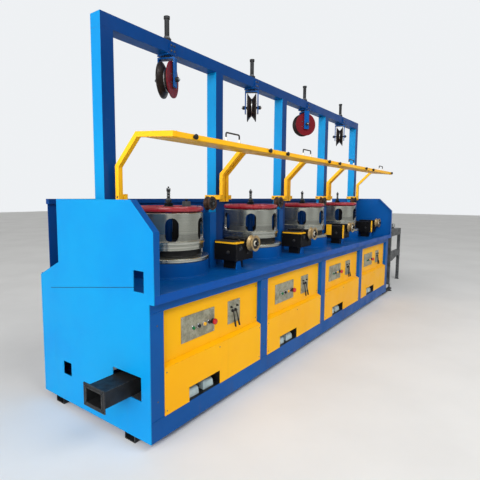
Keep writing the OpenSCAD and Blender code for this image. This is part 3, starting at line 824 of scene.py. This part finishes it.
def box_lid(i):
    """Lid of a die box: the plate with its pad, the raised cover beside it, and the hinge. It stands for
    the CAD lid."""
    p = Piece("guard" if i < 3 else "black", "black", "rubber_and_shade", "bolt")
    x, z = LIDS[i][0].x, BOX_HIGH + 0.0003
    front, back = BOX_FRONT + 0.003, BOX_BACK - 0.006
    p.bar((x, front, z), (x + 0.127, back, z + 0.015), 0.0015, 0)
    p.bar((x + 0.001, front + 0.036, z + 0.015), (x + 0.127, back, z + 0.0228), 0.002, 2)
    p.bar((x + 0.131, front, z), (x + BOX_W, back, z + 0.040), 0.003, 1)
    p.turned((x + 0.070, front + 0.018, z + 0.015), Z,
             [(0.007, 0), (0.007, 0.010), (0.012, 0.013), (0.012, 0.020), (0.008, 0.024)], 18, 2)
    hinge = Vector((x + 0.0553, BOX_BACK + 0.007, BOX_HIGH + 0.016))
    length = BOX_W - 0.1106
    p.bar((hinge.x, back, hinge.z - 0.008), (hinge.x + length, hinge.y - 0.006, hinge.z + 0.008), 0.001, 1)
    p.lathe(hinge, X, [(0.0051, 0), (0.008, 0), (0.008, length), (0.0051, length)], 20, 1)
    for u in (0.150, 0.250):
        for v in (front + 0.020, back - 0.020):
            p.screw((x + u, v, z + 0.040), Z, 0.005, 3)
    p.stand_for(f"die_lid_{i}", f"box_lid_{i}", f"die_lid_{i}")


def spindle_fittings():
    """Nuts, rings and caps on the drum spindles, above the hubs of the turning rings."""
    p = Piece("bolt", "bright")
    for i in BAYS:
        at = Vector((DRUMS[i].x, 0, TABLE + 0.586))
        p.turned(at + Z * 0.0222, Z, [(0.021, 0), (0.021, 0.014), (0.018, 0.017)], 6)
        for rise in (0.055, 0.078):
            p.ring(at + Z * rise, Z, 0.0128, 0.0165, 0.006, 20, 1)
        p.turned(at + Z * 0.112, Z, [(0.0168, 0), (0.0182, 0.003), (0.0182, 0.009), (0.012, 0.012)], 6, 1)
    p.done("spindle_fittings", "frame")


def stand_fittings():
    """Foot plates, bolts and roller caps of the inlet stand."""
    p = Piece("bolt", "bright")
    low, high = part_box("inlet_stand")
    top, plate = TABLE + 0.034, [(0.048, 0), (0.048, 0.006), (0.040, 0.010)]
    rail = top * 0.43
    for x in (high.x - 0.675, high.x - 0.025):
        for y in (low.y + 0.025, low.y + 0.235):
            p.turned((x, y, 0.0), Z, plate, 4, phase=math.pi / 4)
        for z in (rail + 0.05, rail + 0.13, top - 0.035, top - 0.08):
            for y, way in ((low.y, -Y), (high.y, Y)):
                p.bolt((x, y, z), way, 0.009)
    for j in range(7):
        aside = 0.045 if j % 2 else -0.045
        at = (FAR + 0.46 + 0.14 * j, (low.y + high.y) / 2 + aside, top + 0.1)
        p.ring(at, Z, 0.022, 0.034, 0.004, 24, 1)
        p.bolt(at, Z, 0.011)
    p.done("stand_fittings", "frame")


def duct_fittings():
    """Folded rim round the mouth of the cable duct."""
    p = Piece("dark")
    low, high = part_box("cable_duct")
    y0, y1, z0, z1 = low.y + 0.022, high.y - 0.022, low.z + 0.020, high.z - 0.020
    w = 0.008
    for ya, za, yb, zb in ((y0, z0, y1, z0 + w), (y0, z1 - w, y1, z1), (y0, z0, y0 + w, z1),
                           (y1 - w, z0, y1, z1)):
        p.bar((low.x - 0.003, ya, za), (low.x, yb, zb), 0.001)
    p.done("duct_rim", "frame")


def levelling_feet():
    """Arms with levelling feet under the far end, which the CAD base lacks."""
    p = Piece("dark", "bolt")
    for y in (FRONT + 0.008, REAR - 0.068):
        p.bar((FAR - 0.120, y, 0.026), (FAR + 0.390, y + 0.060, 0.0515), 0.002)
        at = (FAR + 0.345, y + 0.030, 0.0)
        p.turned(at, Z, [(0.044, 0.0), (0.044, 0.008), (0.030, 0.014), (0.011, 0.016), (0.011, 0.114),
                         (0.009, 0.116)], 24)
        p.turned(at, Z, [(0.020, 0.0515), (0.020, 0.065), (0.018, 0.067)], 6, 1)
        p.turned(at, Z, [(0.018, 0.0120), (0.020, 0.0140), (0.020, 0.0260)], 6, 1)
    p.done("levelling_feet", "frame")


def wall_rail_fittings():
    """Bolts along the rail on the splash wall, at its back."""
    p = Piece("bolt")
    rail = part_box("rear_panels")[1]
    for k in range(9):
        p.bolt((NEAR + 0.10 + 0.63 * k, WALL_Y + 0.024, rail.z - 0.02), Y, 0.008)
    p.done("wall_bolts", "frame")


# pieces on the moving bodies


def window_edge(u, v, reach):
    """Where the line from the middle of a window towards (u, v) crosses its oval edge."""
    if abs(u) > 1e-9 and abs(v) * WINDOW_R / abs(u) <= reach:
        share = WINDOW_R / abs(u)
    else:
        end = math.copysign(reach, v)
        size = u * u + v * v
        share = (v * end + math.sqrt((v * end) ** 2 - size * (end ** 2 - WINDOW_R ** 2))) / size
    return u * share, v * share


def windowed_band(p, i, low, high):
    """Shell of a drum between two heights, inside and outside, with its six oval windows."""
    middle, reach = (WINDOW_Z[0] + WINDOW_Z[1]) / 2, (WINDOW_Z[1] - WINDOW_Z[0]) / 2
    step, half = math.radians(5), 6
    levels = [low + (high - low) * j / 8 for j in range(9)]
    border = [(step * j, low) for j in range(-half, half)] + [(step * half, z) for z in levels[:-1]]
    border += [(step * j, high) for j in range(half, -half, -1)] + [(-step * half, z) for z in levels[:0:-1]]
    for turn in turns(6, DRUM_TURN[i]):
        rims = []
        for radius, finish in ((SHELL_R, 0), (SHELL_R - WALL, 2)):
            edge = []
            for a, z in border:
                u, v = window_edge(radius * math.sin(a), z - middle, reach)
                edge.append((math.asin(u / radius), v + middle))
            rows = []
            for share in (0.0, 0.12, 0.35, 0.65, 1.0):
                row = []
                for (a0, z0), (a1, z1) in zip(edge, border):
                    a, z = turn + a0 + (a1 - a0) * share, z0 + (z1 - z0) * share
                    row.append(X * DRUMS[i].x + round_z(a, radius, z))
                rows.append(row)
            p.loft(rows, finish, caps=False)
            rims.append(rows[0])
        p.loft(rims, 3, caps=False)


def drum_shell(i):
    """Winding drum turned in one piece, with its windows. It stands for the CAD drum."""
    p = Piece("drum", "groove", "inner", "bright", "grey")
    c = X * DRUMS[i].x
    strips = ((0, ((0.290, 0.162), (0.299, 0.156), (0.299, 0.134), (0.294, 0.132), (0.294, 0.088))),
              (1, ((0.294, 0.088), (0.268, 0.078), (0.268, 0.042), (0.276, 0.034))),
              (0, ((0.276, 0.034), (0.330, 0.028), (0.338, 0.022), (0.338, 0.0), (0.031, 0.0))),
              (2, ((0.031, 0.0), (0.031, 0.120), (0.270, 0.120), (0.270, 0.162))),
              (0, ((0.290, 0.377), (0.285, 0.382), (0.270, 0.382), (0.270, 0.377))))
    for finish, profile in strips:
        p.turned(c + Z * DRUM_FOOT, Z, profile, 72, finish, DRUM_TURN[i], caps=False)
    windowed_band(p, i, DRUM_FOOT + 0.162, DRUM_FOOT + 0.377)
    bmesh.ops.remove_doubles(p.mesh, verts=p.mesh.verts, dist=0.00001)
    for turn in (0.42, 0.42 + math.pi):
        at = c + round_z(DRUM_TURN[i] + turn, 0.277)
        p.tube([at + Z * (TABLE + 0.166), at + Z * (TABLE + 0.215)], 0.0065, 12, 3)
    for a in turns(8):
        p.bolt(c + round_z(a, 0.110, TABLE + 0.248), Z, 0.009, 4)
    p.stand_for(f"drum_{i}", f"drum_shell_{i}", f"drum_{i}")


def drum_seats():
    """Round housings with their stepped spindles. They stand for the CAD bases."""
    p = Piece("blue", "dark", "shaded_blue")
    for i in BAYS:
        at = (DRUMS[i].x, 0, TABLE)
        p.turned(at, Z, [(0.338, 0.0), (0.338, 0.012), (0.335, 0.014), (0.335, 0.119), (0.332, 0.122)], 72)
        # the spindle inside the drum in the darker blue: painted shade
        p.turned(at, Z, [(0.060, 0.121), (0.060, 0.1275), (0.0268, 0.1276), (0.0268, 0.5155)], 32, 2)
        p.turned(at, Z, [(0.0189, 0.515), (0.0189, 0.594), (0.0265, 0.595), (0.0265, 0.609),
                         (0.013, 0.610), (0.013, 0.680), (0.017, 0.681), (0.017, 0.700), (0.006, 0.701),
                         (0.006, 0.722)], 28, 1)
    p.stand_for("drum_bases", "drum_seats", "frame")


def turning_ring(i):
    """Round-edged ring with spokes and hub, and the guide block on its first spoke. It stands for the CAD
    flyer."""
    p = Piece("red", "black", "grey", "rubber_and_shade", "bolt")
    c = Vector((DRUMS[i].x, 0, RING_Z))
    turn = DRUM_TURN[i] + math.radians(56)
    section = [(0.244, 0.012), (0.252, 0.003), (0.260, 0), (0.274, 0), (0.285, 0.006), (0.290, 0.016),
               (0.290, 0.029), (0.285, 0.039), (0.274, 0.045), (0.260, 0.045), (0.252, 0.042), (0.244, 0.033)]
    p.lathe(c, Z, section, 72)
    p.lathe(c, Z, [(0.0195, 0), (0.052, 0), (0.052, 0.040), (0.047, 0.044), (0.036, 0.044), (0.036, 0.070),
                   (0.0195, 0.070)], 36, 1)
    for a in turns(3, turn):
        way, side = round_z(a), round_z(a + math.pi / 2)
        for half, low, high in ((0.026, 0.010, 0.020), (0.009, 0.020, 0.036)):
            p.bar((c.x + 0.040, -half, c.z + low), (c.x + 0.258, half, c.z + high), 0.002, 1, a, c)
        for r in (0.075, 0.222):
            for s in (-0.018, 0.018):
                p.bolt(c + Z * 0.020 + way * r + side * s, Z, 0.006, 4)
        for b in (a + 0.35, a - 0.35, a + math.pi / 3):
            p.turned(c + round_z(b, 0.267, 0.045), Z, [(0.006, 0), (0.006, 0.0035), (0.0045, 0.005)], 12, 3)
    for a in turns(6, turn + math.pi / 6):
        p.bolt(c + round_z(a, 0.042, 0.044), Z, 0.004, 4, washer=False)
    spin = Matrix.Rotation(turn, 3, "Z")
    block = ((0.032, 0.020), (-0.032, 0.020), (-0.021, 0.080), (-0.017, 0.084), (0.017, 0.084),
             (0.021, 0.080))
    p.loft([[c + spin @ Vector((r, y, z)) for y, z in block] for r in (0.150, 0.206)], 2)
    knob = [(0.008, 0.083), (0.008, 0.088), (0.0145, 0.090), (0.0150, 0.099), (0.010, 0.102)]
    p.turned(c + spin @ Vector((0.178, 0, 0)), Z, knob, 20, 3)
    p.stand_for(f"flyer_{i}", f"turning_ring_{i}", f"flyer_{i}")


def swivel_fittings(i):
    """Caps on the axle of a hanging clevis, and the nut on its spindle above the beam."""
    p = Piece("bolt", "bright")
    c, axle = PULLEYS[i], pulley_axle(i)
    for s in (-1, 1):
        tip = c + axle * s * 0.096
        p.turned(tip, axle * s, [(0.0105, 0), (0.0105, 0.007), (0.0085, 0.010)], 16, 1)
    p.bolt((c.x, 0, GANTRY_TOP + 0.0275), Z, 0.030, washer=False)
    p.done(f"swivel_fittings_{i}", f"swivel_{i}")


def pulley_fittings(i):
    """Worn bright line at the bottom of the groove, and six studs on each disc."""
    p = Piece("bright", "bolt")
    c, axle = PULLEYS[i], pulley_axle(i)
    u, v = square_to(axle)
    p.ring(c - axle * 0.0035, axle, 0.0892, 0.0908, 0.007, 48)
    for s in (-1, 1):
        for a in turns(6):
            at = c + axle * s * 0.048 + (u * math.cos(a) + v * math.sin(a)) * 0.062
            p.turned(at, axle * s, [(0.007, 0), (0.007, 0.0025), (0.005, 0.004)], 6, 1)
    p.done(f"pulley_fittings_{i}", f"pulley_{i}")


def swing_guard(i):
    """Bent arms, front rail with its sheet, knobs and bow handle. It stands for the CAD guard."""
    p = Piece("guard", "rubber_and_shade", "white")
    low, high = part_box(f"guard_{i}")
    left, right, tube = low.x, high.x, 0.036
    tip, bend, elbow, top = GUARD_TIP, FRONT + 0.306, 1.818, GUARD_TOP - 0.026
    fore, rear, foot = PIVOT_Y - tube / 2, PIVOT_Y + tube / 2, PIVOT_Z - 0.040
    under = GUARD_TOP - tube
    arm = [(fore, foot), (rear, foot), (rear, elbow), (bend, GUARD_TOP), (tip, top), (tip, top - tube),
           (bend - 0.012, under), (fore, elbow - 0.014)]
    for x in (left, right - tube):
        p.across(x, x + tube, arm)
        p.bar((x + 0.003, fore + 0.003, foot - 0.0025), (x + 0.033, rear - 0.003, foot + 0.0005), 0.001, 1)
        inner = x + tube if x == left else x
        for z in (top, top - tube):
            p.weld([(inner, tip + 0.001, z), (inner, tip + 0.034, z)], 0.0028)
    p.bar((left + tube, tip, top - tube), (right - tube, tip + tube, top), 0.002)
    p.across(left + tube, right - tube, [(tip + tube, top - tube), (bend - 0.052, under - 0.003),
                                         (bend - 0.052, under + 0.001), (tip + tube, top - tube + 0.004)])
    for x in (left + 0.196, right - 0.086):
        knob = [(0.010, 0.0), (0.010, 0.008), (0.0165, 0.012), (0.0185, 0.018), (0.0185, 0.022),
                (0.015, 0.026), (0.008, 0.0285), (0.002, 0.0292)]
        p.turned((x, tip, top - 0.018), -Y, knob, 24, 1)
    a, b, y = left + 0.566, left + 0.734, tip + 0.016
    bow = [(a, 0.0), (a, 0.050), (a + 0.003, 0.057), (a + 0.010, 0.060), (b - 0.010, 0.060),
           (b - 0.003, 0.057), (b, 0.050), (b, 0.0)]
    p.tube([(x, y, top + rise) for x, rise in bow], 0.0058, 10, 1)
    sleeve = [(0.0088, 0), (0.0096, 0.001), (0.0096, 0.025), (0.0088, 0.026)]
    for x in (a, b):
        p.turned((x, y, top), Z, sleeve, 16, 2)
    p.stand_for(f"guard_{i}", f"swing_guard_{i}", f"guard_{i}")


def grooved_roller(name, node, centre, radius, width, tyre, web, hub):
    """Roller with a V groove, a recessed web and a raised hub. It stands for the CAD roller."""
    p = Piece(tyre, web, hub, "bolt")
    at = centre - Y * (width / 2)
    r, w = radius, width
    p.lathe(at, Y, [(r * 0.70, 0.003), (r * 0.86, 0.001), (r * 0.97, 0), (r, 0.003), (r, w * 0.1),
                    (r * 0.78, w * 0.42), (r * 0.78, w * 0.58), (r, w * 0.9), (r, w - 0.003), (r * 0.97, w),
                    (r * 0.86, w - 0.001), (r * 0.70, w - 0.003)], 48)
    p.lathe(at, Y, [(r * 0.34, 0.010), (r * 0.71, 0.007), (r * 0.71, w - 0.007),
                    (r * 0.34, w - 0.010)], 40, 1)
    p.lathe(at, Y, [(0.0121, 0.003), (r * 0.28, 0.003), (r * 0.34, 0.006), (r * 0.34, w - 0.006),
                    (r * 0.28, w - 0.003), (0.0121, w - 0.003)], 32, 2)
    for a in turns(4, math.pi / 4):
        spot = at + Vector((math.cos(a), 0, math.sin(a))) * (r * 0.52) + Y * 0.009
        p.turned(spot, -Y, [(0.004, 0), (0.004, 0.002), (0.003, 0.003)], 10, 3)
    p.stand_for(node, name, node)


def make_pieces():
    """Every piece that this script adds to the CAD nodes."""
    for make in (frame_welds, panel_trays, panel_screws, end_seams, control_panels, pedals, gantry_bolts,
                 box_fittings, drum_seats, spindle_fittings, stand_fittings, levelling_feet, duct_fittings,
                 wall_rail_fittings):
        make()
    for i in BAYS:
        for make in (drum_shell, turning_ring, swivel_fittings, pulley_fittings, swing_guard, box_lid):
            make(i)
        grooved_roller(f"guide_wheel_{i}", f"guide_{i}", GUIDES[i], 0.062, 0.064, "brown", "dark", "dark")
        grooved_roller(f"inlet_wheel_{i}", f"inlet_roller_{i}", ROLLERS[i], 0.072, 0.058, "brass", "iron",
                       "nylon")


bpy.context.scene.view_settings.view_transform = "Standard"
make_camera()
make_world()
area_light("key", (-9.0, -4.5, 6.5), (-1.0, -0.3, 1.2), (5.0, 5.0), 260)
area_light("front", (-1.0, -6.5, 8.0), (0.0, 0.0, 0.8), (7.0, 3.5), 360)
make_stage(floor_material())
dress_frame()
dress_moving()
make_pieces()
